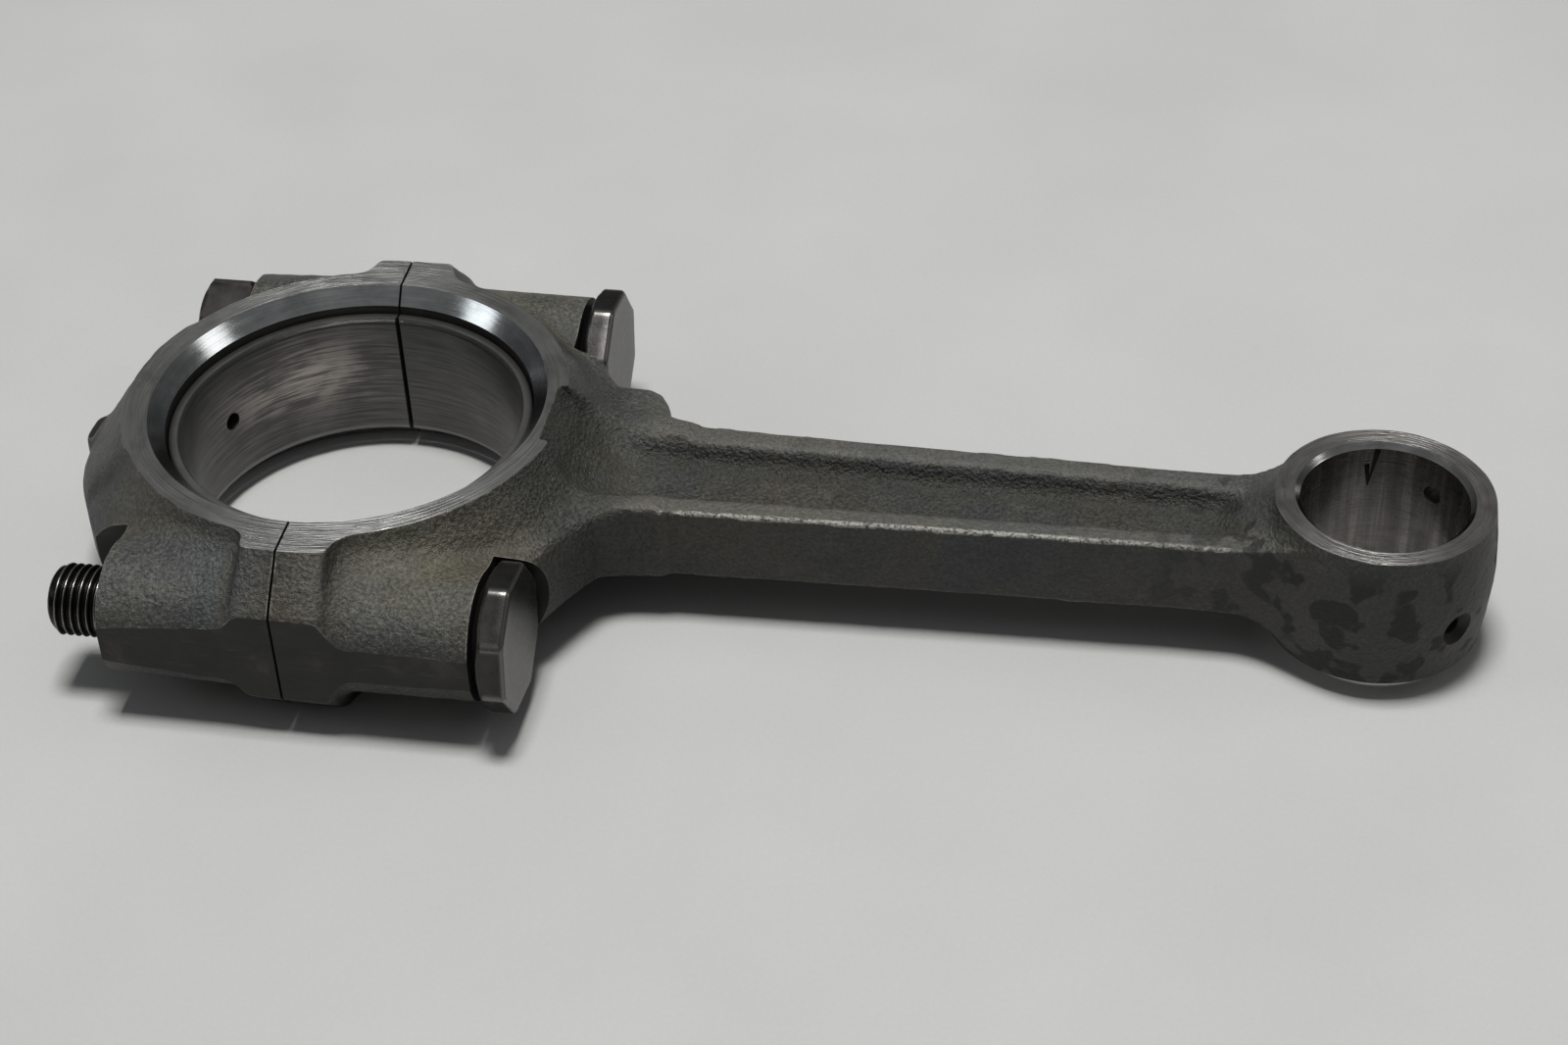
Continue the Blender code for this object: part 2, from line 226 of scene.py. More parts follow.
def surface(field, axes):
    """Naive surface nets: points in millimetres and quads of the zero surface of a field (negative inside)."""
    nx, ny, nz = field.shape
    neg = field < 0
    corners = [(i, j, k) for i in (0, 1) for j in (0, 1) for k in (0, 1)]
    total = np.zeros((nx - 1, ny - 1, nz - 1), dtype=np.int8)
    for i, j, k in corners:
        total += neg[i:nx - 1 + i, j:ny - 1 + j, k:nz - 1 + k]
    cells = np.argwhere((total > 0) & (total < 8))
    index = np.full(total.shape, -1, dtype=np.int64)
    index[tuple(cells.T)] = np.arange(len(cells))
    value = {c: field[cells[:, 0] + c[0], cells[:, 1] + c[1], cells[:, 2] + c[2]] for c in corners}
    acc = np.zeros((len(cells), 3))
    hits = np.zeros(len(cells))
    for a in corners:
        for d in range(3):
            if a[d]:
                continue
            b = tuple(1 if q == d else a[q] for q in range(3))
            va, vb = value[a], value[b]
            cross = (va < 0) != (vb < 0)
            t = np.where(cross, va / np.where(cross, va - vb, 1.0), 0.0)
            point = np.array(a, float)[None, :].repeat(len(cells), 0)
            point[:, d] = t
            acc += np.where(cross[:, None], point, 0.0)
            hits += cross
    step = np.array([a[1] - a[0] for a in axes])
    first = np.array([a[0] for a in axes])
    verts = (cells + acc / hits[:, None]) * step + first
    quads = []
    for d in range(3):
        e, g = (d + 1) % 3, (d + 2) % 3
        one = [slice(None)] * 3
        two = [slice(None)] * 3
        one[d], two[d] = slice(0, -1), slice(1, None)
        change = neg[tuple(one)] != neg[tuple(two)]
        rising = neg[tuple(one)] & ~neg[tuple(two)]
        for q in (e, g):
            cut = [slice(None)] * 3
            cut[q] = slice(1, -1)
            change, rising = change[tuple(cut)], rising[tuple(cut)]
        at = np.argwhere(change)
        up = rising[tuple(at.T)]
        at[:, e] += 1
        at[:, g] += 1

        def cell(de, dg):
            c = at.copy()
            c[:, e] -= de
            c[:, g] -= dg
            return index[tuple(c.T)]
        quad = np.stack([cell(1, 1), cell(0, 1), cell(0, 0), cell(1, 0)], -1)
        quads.append(np.where(up[:, None], quad, quad[:, ::-1]))
    return verts, np.concatenate(quads)


def grid(low, high):
    return [np.arange(l, h + VOXEL, VOXEL, dtype=np.float32) for l, h in zip(low, high)]


def mirrored(field, axes):
    """A field on z >= 0 made whole by reflection in the mid-plane. Its z axis starts half a voxel up."""
    return np.concatenate([field[:, :, ::-1], field], axis=2), [axes[0], axes[1],
                                                                np.concatenate([-axes[2][::-1], axes[2]])]


RIM = [(-1.0, -5.0), (34.0, -5.0), (34.0, 2.2), (33.1, 3.9), (30.8, 6.9), (28.4, 10.5), (27.35, 12.6), (27.2, 14.5),
       (-1.0, 14.5)]
PAD_SLOPE = (0.731, 0.682, 0.731 * 30.5 + 0.682 * 12.0)


def end_ring(x, y, z):
    return polygon_field(np.hypot(x, y), z, RIM)


def joint_pad(x, y, z, x0, x1):
    side = np.abs(y)
    f = smooth_max(side * PAD_SLOPE[0] + z * PAD_SLOPE[1] - PAD_SLOPE[2], side - SIDE_Y, 0.6)
    f = smooth_max(f, np.abs(x - (x0 + x1) / 2) - (x1 - x0) / 2, 1.2)
    return np.maximum(np.maximum(f, z - 14.0), 20.0 - side)


def bolt_boss(x, y, z, x0, x1, r0, r1):
    t = np.clip((x - x0) / (x1 - x0), 0.0, 1.0)
    f = np.hypot(np.abs(y) - BOLT_Y, z) - (r0 + (r1 - r0) * t)
    return smooth_max(f, np.abs(x - (x0 + x1) / 2) - (x1 - x0) / 2, 1.0)


def rod_blank():
    axes = grid((-1.5, -38.5, VOXEL / 2), (143.5, 38.5, 14.0))
    x, y, z = np.meshgrid(*axes, indexing="ij", sparse=True)
    f = end_ring(x, y, z)
    f = smooth_min(f, bolt_boss(x, y, z, -3.0, 26.5, 8.1, 7.9), 3.0)
    f = smooth_min(f, joint_pad(x, y, z, -5.0, 5.9), 3.2)
    near = [(10.0, -29.5), (24.3, -26.0), (27.0, -22.0), (28.8, -19.0), (30.5, -15.2), (33.3, -11.3), (36.5, -9.8),
            (41.0, -9.0)]
    far = [(42.0, 9.0), (40.5, 9.5), (38.9, 10.9), (38.0, 13.4), (36.9, 15.2), (35.2, 16.2), (30.8, 16.4),
           (29.0, 18.6), (27.0, 22.0), (24.3, 26.0), (10.0, 29.5)]
    shoulder = smooth_max(polygon_field(x[:, :, 0], y[:, :, 0], near + far)[:, :, None] + 0.05 * z, z - 5.4, 1.6)
    f = smooth_min(f, shoulder, 2.4)
    half = np.interp(x, [20, 40, 55, 80, 104, 112, 125], [9.4, 9.0, 8.6, 8.0, 7.5, 7.6, 7.8]).astype(np.float32)
    shank = smooth_max(np.abs(y) - half + 0.05 * z - 0.2, z - 5.0, 0.2)
    shank = np.maximum(shank, np.maximum(20.0 - x, x - 126.0))
    f = smooth_min(f, shank, 1.6)
    eye_r = np.hypot(x - CENTRES, y)
    eye = polygon_field(eye_r, z, [(-1, -5), (13.9, -5), (13.9, 1.0), (13.55, 5.5), (13.05, 9.4), (12.9, 11.5), (-1, 11.5)])
    f = smooth_min(f, eye, 5.5)
    # channel of the I-section, running out up the big end's rim and against the small end
    floor = 2.0 + 0.084 * np.clip(36.6 - x, 0, None) ** 2 + 0.10 * np.clip(x - 106.0, 0, None) ** 2
    width = np.interp(x, [26, 32, 42, 60, 80, 104, 112], [5.6, 5.9, 5.7, 5.35, 5.0, 4.6, 4.0]).astype(np.float32)
    wall = np.abs(y) - width + 0.42 * np.clip(5.0 - z, 0, None)
    channel = smooth_max(wall * 0.92, floor - z, np.interp(x, [27, 30, 36, 42], [0.7, 2.6, 2.6, 1.7]))
    channel = np.maximum(channel, x - 116.0)
    f = smooth_max(f, -channel, np.interp(x, [26.8, 28.5, 36, 41], [0.35, 2.6, 2.4, 0.75]))
    return f, axes


def cap_blank():
    axes = grid((-38.0, -38.5, VOXEL / 2), (1.5, 38.5, 14.0))
    x, y, z = np.meshgrid(*axes, indexing="ij", sparse=True)
    f = end_ring(x, y, z)
    f = smooth_min(f, bolt_boss(x, y, z, -24.0, 3.0, 7.9, 9.0), 3.4)
    f = smooth_min(f, joint_pad(x, y, z, -4.7, 5.0), 2.2)
    outline = [(-24, -14), (-30.8, -13.2), (-32.3, -11.1), (-33.5, -8.9), (-34.3, -6.4), (-34.6, -4.1), (-34.6, 4.1),
               (-34.3, 6.4), (-33.2, 8.6), (-31.9, 10.4), (-30.8, 12.0), (-24, 13)]
    rib = polygon_field(np.hypot(x, y), z, [(20, -5), (36, -5), (36, 1.8), (34.4, 3.2), (31.6, 7.0), (28.6, 10.9), (27.2, 13),
                                            (20, 13)])
    rib = smooth_max(rib, polygon_field(x[:, :, 0], y[:, :, 0], outline)[:, :, None], 1.4)
    f = smooth_min(f, rib, 1.2)
    knob = smooth_max(smooth_max(np.abs(x + 32.4) - 2.95, np.abs(y - 0.2) - 2.9, 1.6), z - 4.0, 0.7)
    f = smooth_min(f, knob, 0.8)
    return f, axes


def roughen(field, axes, coarse, fine):
    """Scale pits and orange peel of a shot-blasted forging, as a change in the distance field. Deepest in the channel
    and on the cap's shoulders, where the die was worn."""
    x, y, z = np.meshgrid(*axes, indexing="ij", sparse=True)
    channel = np.clip((7.0 - np.abs(y)) / 3.0, 0, 1) * np.clip((x - 22) / 6.0, 0, 1) * np.clip((112 - x) / 10.0, 0, 1)
    shoulders = np.clip((4.0 - x) / 10.0, 0, 1) * np.clip((np.abs(z) - 2.0) / 4.0, 0, 1)
    depth = (0.6 + 0.9 * np.maximum(channel, shoulders)).astype(np.float32)
    noise = coarse * lattice_noise(axes, 3.1, 11) + fine * lattice_noise(axes, 1.0, 23)
    pits = lattice_noise(axes, 1.4, 41)
    return field + depth * (noise + fine * 1.3 * np.clip(pits - 0.5, 0, None))


def curvature(field):
    """Sharpness of the nearby surface in 1/mm: positive on outer edges, negative in inner corners."""
    soft = field.copy()
    for d in range(3):
        for _ in range(2):
            soft = 0.5 * soft + 0.25 * (np.roll(soft, 1, d) + np.roll(soft, -1, d))
    bend = sum(np.roll(soft, 1, d) + np.roll(soft, -1, d) - 2 * soft for d in range(3)) / VOXEL ** 2
    for d in range(3):
        bend = 0.5 * bend + 0.25 * (np.roll(bend, 1, d) + np.roll(bend, -1, d))
    return bend


def forging(name, blank):
    half, axes = blank
    whole, axes = mirrored(half, axes)
    bends[name] = (curvature(whole), axes)
    whole = roughen(whole, axes, 0.05, 0.055) + 0.06
    for d in range(3):                      # close the body where it meets the edge of its grid
        for side in (0, -1):
            edge = [slice(None)] * 3
            edge[d] = side
            whole[tuple(edge)] = np.maximum(whole[tuple(edge)], VOXEL)
    verts, quads = surface(whole, axes)
    return new_object(name, verts, quads)


rod = forging("rod_body", rod_blank())
cap = forging("cap_body", cap_blank())


def bore_cutter(name):
    run = CHAMFER_R - HOUSING_R
    top = HALF_BIG + 3.0
    wide = CHAMFER_R + run * 3.0 / CHAMFER_DEPTH
    flat = HALF_BIG - CHAMFER_DEPTH
    return turned(name, [(0.0, -top), (wide, -top), (HOUSING_R, -flat), (HOUSING_R, flat), (wide, top), (0.0, top)],
                  steps=288)


def face_cutters(name, x0, x1, half):
    return [slab(name + "_top", (x0, -45, half), (x1, 45, 20)), slab(name + "_under", (x0, -45, -20), (x1, 45, -half))]


cuts = face_cutters("face_rod", -5, 60, HALF_BIG)
cuts.append(slab("part_rod", (-10, -45, -20), (GAP, 45, 20)))
cuts.append(bore_cutter("bore_rod"))
for s in (-1, 1):
    cuts.append(rod_between("seat_rod", SEAT_R, SEAT_X, 50.0, (0, s * BOLT_Y, 0)))
    cuts.append(rod_between("hole_rod", 4.8, -8.0, 40.0, (0, s * BOLT_Y, 0), steps=64))
    cuts.append(slab("side_rod", (-8, min(s * SIDE_Y, s * 45), -20), (40, max(s * SIDE_Y, s * 45), 20)))
cuts += face_cutters("face_eye", 100, 150, HALF_SMALL)
pin_top = HALF_SMALL + 1.0
cuts.append(turned("pin_rod", [(0, -pin_top), (PIN_R + 1.65, -pin_top), (PIN_R, -HALF_SMALL + 0.65),
                               (PIN_R, HALF_SMALL - 0.65), (PIN_R + 1.65, pin_top), (0, pin_top)],
                   (CENTRES, 0, 0), steps=224))
for angle, height in EYE_OIL:
    at = (CENTRES, 0, height)
    cuts.append(rotate(rod_between("oil_rod", 1.2, 8.0, 18.0, at, steps=40), angle, at))
    cuts.append(rotate(turned("oil_sink", [(0.0, 12.0), (0.6, 12.0), (4.6, 16.0), (0.0, 16.0)], at, "X", 48), angle, at))
for tilt, length, wide in ((8.5, 5.7, 0.36), (-6.0, 3.4, 0.34)):      # a V-shaped nick in the far wall of the bore
    tip = (125.8, 9.83, 2.8)
    nick = turned("bore_nick", [(0.0, 0.0), (0.08, 0.0), (0.7 * wide, 0.5 * length), (wide, length), (0.0, length)], tip, steps=20)
    cuts.append(rotate(nick, tilt, tip, "Y"))
carve(rod, cuts)

cuts = face_cutters("face_cap", -45, 5, HALF_BIG)
cuts.append(slab("part_cap", (-GAP, -45, -20), (10, 45, 20)))
cuts.append(bore_cutter("bore_cap"))
for s in (-1, 1):
    cuts.append(rod_between("seat_cap", SEAT_R, -45.0, -NUT_SEAT_X, (0, s * BOLT_Y, 0)))
    cuts.append(rod_between("hole_cap", 4.8, -40.0, 8.0, (0, s * BOLT_Y, 0), steps=64))
    cuts.append(slab("side_cap", (-40, min(s * SIDE_Y, s * 45), -20), (8, max(s * SIDE_Y, s * 45), 20)))
carve(cap, cuts)


# ------------------------------------------------------------------ small turned pieces

def relief(side):
    """Cutter for the shallow V that the shells' inner edges make where they meet."""
    pts = [(x, side * y, z) for z in (-12.0, 12.0) for x, y in ((-0.38, 21.2), (0.38, 21.2), (0.0, 22.1))]
    obj = new_object("relief", pts, [(0, 1, 2), (5, 4, 3), (0, 3, 4, 1), (1, 4, 5, 2), (2, 5, 3, 0)], smooth=False)
    face_outward(obj)
    return obj


def half_shell(name, sign):
    """Half of the bearing shell: a thin turned strip with broken edges, ending just short of the parting line."""
    rows = [(21.62, 9.0), (22.45, 9.0), (22.7, 8.75), (22.7, -8.75), (22.45, -9.0), (21.62, -9.0), (21.4, -8.72)]
    rows += [(21.4, h) for h in np.linspace(-8.72, 8.72, 21)[1:]]
    trim = math.degrees(math.asin(GAP / 21.4))
    start = (-90.0 if sign > 0 else 90.0) + trim
    shell = turned(name, rows, steps=180, start=start, sweep=180.0 - 2 * trim)
    cuts = [relief(1), relief(-1)]
    if sign < 0:
        cuts.append(rotate(rod_between("oil_shell", 1.2, 18.0, 26.0, steps=40), 156.5, (0, 0, 0)))
    return carve(shell, cuts)


def threaded(x, angle, crest, first, last):
    """Radius of an M9 x 1 thread at x, faded in over its first turn and out over its last."""
    phase = (x / PITCH + angle / (2 * math.pi)) % 1.0
    tooth = np.clip(1.2 * (1.0 - np.abs(2.0 * phase - 1.0)) - 0.05, 0.0, 1.0)
    depth = 0.54 * PITCH * np.clip((x - first) / 0.5, 0, 1) * np.clip((last - x) / 1.2, 0, 1)
    return crest - depth * tooth


def octagon(angles):
    """Radius of the bolt head at each angle: an octagon with softly rounded corners."""
    corners = [np.clip(np.cos(angles - math.radians(HEAD_TURN + 22.5 + 45.0 * k)), 0.0, 1.0) / HEAD_FLAT for k in range(8)]
    return sum(c ** 90.0 for c in corners) ** (-1.0 / 90.0)


def bolt(name, side):
    top = BOLT_END + 16.7
    fine = list(np.arange(BOLT_END + 0.9, top, PITCH / 12))
    # rows of (largest radius, x); the last number is how far inside the octagon the row lies
    stem = [(1.5, BOLT_END), (3.0, BOLT_END), (3.35, BOLT_END + 0.03), (3.6, BOLT_END + 0.2), (4.0, BOLT_END + 0.55)]
    stem += [(4.4, x) for x in fine] + [(4.42, top + 0.1), (4.5, top + 0.4), (4.5, 0.0), (4.5, SEAT_X - 0.2),
                                        (4.5, SEAT_X + 0.31), (6.9, SEAT_X + 0.31), (7.05, SEAT_X + 0.4),
                                        (7.05, SEAT_X + 0.92), (7.9, SEAT_X + 0.95), (8.05, SEAT_X + 1.0),
                                        (8.55, SEAT_X + 1.3), (8.95, SEAT_X + 1.55), (9.15, SEAT_X + 1.75)]
    head = [(9.2, SEAT_X + 1.95, 0.0), (9.2, 26.4, 0.0), (9.2, 27.35, 0.0), (9.2, 27.52, 0.03), (9.2, 27.68, 0.11),
            (9.2, 27.84, 0.26), (9.2, 27.92, 0.36), (9.2, 27.97, 0.46), (9.2, 28.0, 0.62), (9.2, 28.0, 0.9), (6.0, 28.0, 1.5),
            (4.0, 27.99, 1.5), (2.0, 27.98, 1.5)]
    rows = [(r, x, 0.0) for r, x in stem] + head
    steps = 192
    angles = 2 * math.pi * np.arange(steps) / steps
    outer = octagon(angles)
    radius = np.array([np.minimum(r, outer - inset) for r, _, inset in rows])
    xs = np.array([x for _, x, _ in rows])[:, None] * np.ones((1, steps))
    cut = (xs > BOLT_END + 0.1) & (xs < top)
    thread = threaded(xs, angles[None, :], 4.4, BOLT_END + 0.1, top)
    radius = np.where(cut, np.minimum(radius, thread), radius)
    y = side * BOLT_Y + radius * np.cos(angles)
    z = radius * np.sin(angles)
    pts = np.stack([xs, y, z], -1).reshape(-1, 3)
    ends = np.array([[BOLT_END, side * BOLT_Y, 0], [27.98, side * BOLT_Y, 0]])
    pts = np.concatenate([pts, ends])
    faces = []
    n = len(rows)
    for i in range(n - 1):
        for k in range(steps):
            m = (k + 1) % steps
            faces.append((i * steps + k, (i + 1) * steps + k, (i + 1) * steps + m, i * steps + m))
    for k in range(steps):
        m = (k + 1) % steps
        faces.append((n * steps, k, m))
        faces.append((n * steps + 1, (n - 1) * steps + m, (n - 1) * steps + k))
    obj = new_object(name, pts, faces)
    face_outward(obj)
    away = np.hypot(pts[:, 1] - side * BOLT_Y, pts[:, 2])
    on_thread = (pts[:, 0] < top) & (pts[:, 0] > BOLT_END + 0.2)
    crest = np.where(on_thread, np.clip((away - 4.3) / 0.08, 0, 1), 0.0)
    rim = np.exp(-((pts[:, 0] - 27.8) / 0.16) ** 2) * (away > 7.5)
    corner = (pts[:, 0] > SEAT_X + 1.8) * np.clip((away - 8.93) / 0.1, 0, 1)
    # painted highlight: thread crests, the rim of the head's end and its corners get a lighter colour through edge
    put(obj, "edge", np.maximum(crest, np.maximum(0.55 * rim, 0.5 * corner)))
    # painted shade: the thread's flanks and roots get a near-black colour through hollow
    put(obj, "hollow", np.where(on_thread, np.clip((4.36 - away) / 0.12, 0, 1), 0.0))
    return obj


def nut(name):
    """Hexagon nut with turned-down corners at both ends and a countersunk thread."""
    low = -NUT_SEAT_X - 0.3 - 6.7
    across = 6.5
    steps = 180
    angles = 2 * math.pi * np.arange(steps) / steps
    hexagon = across / np.cos((angles - math.radians(NUT_TURN)) % (math.pi / 3) - math.pi / 6)
    rounded = 7.42
    hexagon = np.minimum(hexagon, rounded)
    rows = []
    for x, cap_r in ((low, 6.15), (low + 0.05, 6.4), (low + 0.42, 7.0), (low + 0.75, 7.6), (low + 3.35, 9.0),
                     (low + 5.95, 7.6), (low + 6.28, 7.0), (low + 6.65, 6.4), (low + 6.7, 6.15)):
        rows.append((x, np.minimum(hexagon, cap_r)))
    inner = [(low + 6.7, 5.25), (low + 6.3, 4.85)] + [(x, 4.75) for x in np.arange(low + 6.2, low + 0.45, -PITCH / 12)]
    inner += [(low + 0.4, 4.85), (low, 5.25)]
    for x, r in inner:
        phase = (x / PITCH + angles / (2 * math.pi)) % 1.0
        depth = 0.3 * np.abs(2 * phase - 1)
        rows.append((x, r * np.ones(steps) + np.where(r < 4.8, depth, 0.0)))
    pts = np.array([[[x, BOLT_Y + r * math.cos(a), r * math.sin(a)] for r, a in zip(rad, angles)] for x, rad in rows])
    n = len(rows)
    faces = []
    for i in range(n):
        for k in range(steps):
            m, j = (k + 1) % steps, (i + 1) % n
            faces.append((i * steps + k, j * steps + k, j * steps + m, i * steps + m))
    obj = new_object(name, pts.reshape(-1, 3), faces)
    face_outward(obj)
    obj.data.set_sharp_from_angle(angle=math.radians(24))
    for name_ in ("edge", "hollow"):
        put(obj, name_, np.zeros(len(obj.data.vertices)))
    return obj


def face_outward(obj):
    bm = bmesh.new()
    bm.from_mesh(obj.data)
    bmesh.ops.recalc_face_normals(bm, faces=bm.faces)
    bm.to_mesh(obj.data)
    bm.free()
    obj.data.shade_smooth()


def put(obj, name, values):
    layer = obj.data.attributes.get(name) or obj.data.attributes.new(name, "FLOAT", "POINT")
    layer.data.foreach_set("value", np.asarray(values, dtype=np.float32))


def points_of(obj):
    co = np.zeros(len(obj.data.vertices) * 3, dtype=np.float32)
    obj.data.vertices.foreach_get("co", co)
    return (co.reshape(-1, 3) - np.array([BIG_X, 0.0, MID_Z])) / MM


def rub(obj, angle, spread, height, depth):
    """Mask of the part of a shell that the crankpin has polished."""
    pts = points_of(obj)
    turn = np.degrees(np.arctan2(pts[:, 1], pts[:, 0]))
    put(obj, "rub", np.exp(-((turn - angle) / spread) ** 2 - ((pts[:, 2] - height) / depth) ** 2))


shell_rod = half_shell("shell_rod_half", 1)
shell_cap = half_shell("shell_cap_half", -1)
rub(shell_rod, 0.0, 30.0, 0.0, 5.0)
rub(shell_cap, 126.0, 26.0, 1.2, 4.6)
bolt_near = bolt("bolt_near_body", -1)
bolt_far = bolt("bolt_far_body", 1)
nut_far = nut("nut_far_body")


# ------------------------------------------------------------------ which finish each face of a forging has

FORGED, TURNED, BRIGHT, BORE, MILLED, EYE_FACE, EYE_CHAMFER = range(7)


def sort_faces(obj):
    """Give each face its finish by where it lies, mark the borders sharp and store the masks for wear, stains and
    painted highlight.
    """
    mesh = obj.data
    count = len(mesh.polygons)
    centre = np.zeros(count * 3, dtype=np.float32)
    normal = np.zeros(count * 3, dtype=np.float32)
    mesh.polygons.foreach_get("center", centre)
    mesh.polygons.foreach_get("normal", normal)
    c = (centre.reshape(-1, 3) - np.array([BIG_X, 0.0, MID_Z])) / MM
    n = normal.reshape(-1, 3)
    x, y, z = c.T
    r, e = np.hypot(x, y), np.hypot(x - CENTRES, y)
    radial = (n[:, 0] * x + n[:, 1] * y) / np.maximum(r, 1e-6)
    kind = np.full(count, FORGED)
    flat_z = np.abs(n[:, 2]) > 0.998
    kind[flat_z & (np.abs(np.abs(z) - HALF_BIG) < 0.02) & (x < 60)] = TURNED
    kind[flat_z & (np.abs(np.abs(z) - HALF_SMALL) < 0.02) & (x > 100)] = EYE_FACE
    kind[(r < CHAMFER_R + 0.05) & (radial < -0.6) & (np.abs(z) > HALF_BIG - CHAMFER_DEPTH - 0.02)] = BRIGHT
    kind[(r < HOUSING_R + 0.3) & (np.abs(z) <= HALF_BIG - CHAMFER_DEPTH + 0.02) & (radial < -0.9)] = MILLED
    radial_e = (n[:, 0] * (x - CENTRES) + n[:, 1] * y) / np.maximum(e, 1e-6)
    kind[(e < PIN_R + 0.05) & (radial_e < -0.9)] = BORE
    kind[(e < PIN_R + 0.8) & (radial_e < -0.5) & (radial_e > -0.9) & (np.abs(z) > 8.3)] = EYE_CHAMFER
    kind[(np.abs(n[:, 0]) > 0.998) & (np.abs(np.abs(x) - GAP) < 0.02)] = MILLED
    kind[(np.abs(n[:, 1]) > 0.998) & (np.abs(np.abs(y) - SIDE_Y) < 0.01)] = MILLED
    b = np.hypot(np.abs(y) - BOLT_Y, z)
    outward = (n[:, 1] * (y - np.sign(y) * BOLT_Y) + n[:, 2] * z) / np.maximum(b, 1e-6)
    kind[(b < 4.85) & (outward < -0.8) & (x < 60)] = MILLED
    kind[(b < SEAT_R + 0.05) & (outward < -0.9) & (b > SEAT_R - 0.1) & (x < 60)] = MILLED
    kind[(np.abs(n[:, 0]) > 0.998) & (b < SEAT_R + 0.1) & ((np.abs(x - SEAT_X) < 0.02) | (np.abs(x + NUT_SEAT_X) < 0.02))] = MILLED
    for angle, height in EYE_OIL:
        across = math.cos(math.radians(angle)) * y - math.sin(math.radians(angle)) * (x - CENTRES)
        kind[(np.hypot(across, z - height) < 2.6) & (radial_e < 0.85) & (e > PIN_R + 0.2) & (e < 14.2)
             & (np.abs(z) < 8.0) & (np.sign(y) == np.sign(angle)) & (x > CENTRES)] = MILLED
    kind[(np.abs(x - 126.3) < 1.5) & (y > 9) & (e > PIN_R + 0.01) & (radial_e < 0.9) & (z > 2) & (z < 8.4)
         & (kind != EYE_CHAMFER)] = MILLED
    kind[(np.abs(x + 32.9) < 2.3) & (np.abs(y - 0.2) < 2.5) & (np.abs(n[:, 2]) > 0.9) & (np.abs(z) > 3.6)] = MILLED
    mesh.polygons.foreach_set("material_index", kind.astype(np.int32))
    mesh.shade_smooth()

    edge_faces = [[] for _ in range(len(mesh.edges))]
    loop_edge = np.zeros(len(mesh.loops), dtype=np.int32)
    mesh.loops.foreach_get("edge_index", loop_edge)
    totals = np.zeros(count, dtype=np.int32)
    mesh.polygons.foreach_get("loop_total", totals)
    owner = np.repeat(np.arange(count), totals)
    order = np.argsort(loop_edge, kind="stable")
    le, ow = loop_edge[order], owner[order]
    first = np.searchsorted(le, np.arange(len(mesh.edges)), "left")
    pairs = np.stack([ow[first], ow[np.minimum(first + 1, len(ow) - 1)]], -1)
    cosine = np.einsum("ij,ij->i", n[pairs[:, 0]], n[pairs[:, 1]])
    unlike = kind[pairs[:, 0]] != kind[pairs[:, 1]]
    cut = (kind[pairs[:, 0]] != FORGED) & (kind[pairs[:, 1]] != FORGED) & (cosine < 0.88)
    sharp = unlike | cut
    layer = mesh.attributes.get("sharp_edge") or mesh.attributes.new("sharp_edge", "BOOLEAN", "EDGE")
    layer.data.foreach_set("value", sharp)

    pts = points_of(obj)
    bend, axes = bends[obj.name]
    near = tuple(np.clip(np.rint((pts[:, d] - axes[d][0]) / VOXEL).astype(int), 0, len(axes[d]) - 1) for d in range(3))
    bent = bend[near]
    shank = np.clip((pts[:, 0] - 32) / 8, 0, 1) * np.clip((116 - pts[:, 0]) / 8, 0, 1)
    # painted highlight: the edge brightening is weighted to the shank's -y side and to upper edges
    side = np.clip((np.abs(pts[:, 1]) - 6.9) / 0.5, 0, 1) * np.where(pts[:, 1] < 0, 1.0, 0.3)
    lit_from_above = np.clip(pts[:, 2] + 0.5, 0.25, 1)
    edge = np.clip((bent - 0.3) / 1.2, 0, 1)
    rubbed_and_lit = (0.3 + 0.7 * shank * side) * lit_from_above
    flange = shank * np.clip((np.abs(pts[:, 2]) - 4.4) / 0.4, 0, 1)
    trough = shank * np.clip((6.3 - np.abs(pts[:, 1])) / 1.2, 0, 1) * np.clip((4.7 - np.abs(pts[:, 2])) / 0.9, 0, 1)
    hollow = np.clip((-bent - 0.02) / 0.25, 0, 1)
    ends = np.zeros(len(mesh.edges) * 2, dtype=np.int32)
    mesh.edges.foreach_get("vertices", ends)
    border = np.unique(ends.reshape(-1, 2)[sharp])
    # machined borders get the same brightening, with the painted highlight stronger on upper edges
    rim = np.zeros(len(pts))
    rim[border] = lit_from_above[border]
    seep = np.exp(-(pts[:, 0] / 3.4) ** 2) * np.clip((np.abs(pts[:, 1]) - 24.0) / 4.0, 0, 1)
    boss_pale = np.exp(-((pts[:, 0] - 15.0) / 6.5) ** 2 - ((np.abs(pts[:, 1]) - 25.5) / 5.5) ** 2) * np.clip(np.abs(pts[:, 2]) / 5, 0, 1)
    cool = np.clip((38.0 - pts[:, 0]) / 8.0, 0, 1) * np.clip((pts[:, 0] - 20.0) / 6.0, 0, 1) * (
        np.clip((19.0 - np.abs(pts[:, 1])) / 5.0, 0, 1))
    put(obj, "seep", seep)
    put(obj, "boss_pale", boss_pale)
    put(obj, "cool", cool)
    put(obj, "edge", edge)
    put(obj, "rubbed_and_lit", rubbed_and_lit)
    put(obj, "flange", flange)
    put(obj, "trough", trough)
    put(obj, "hollow", hollow)
    put(obj, "rim", rim)
    oily = np.clip((pts[:, 0] - 92.0) / 26.0, 0, 1) * np.clip((8.4 - pts[:, 2]) / 3.0, 0, 1)
    put(obj, "oil", oily)




# ------------------------------------------------------------------ materials

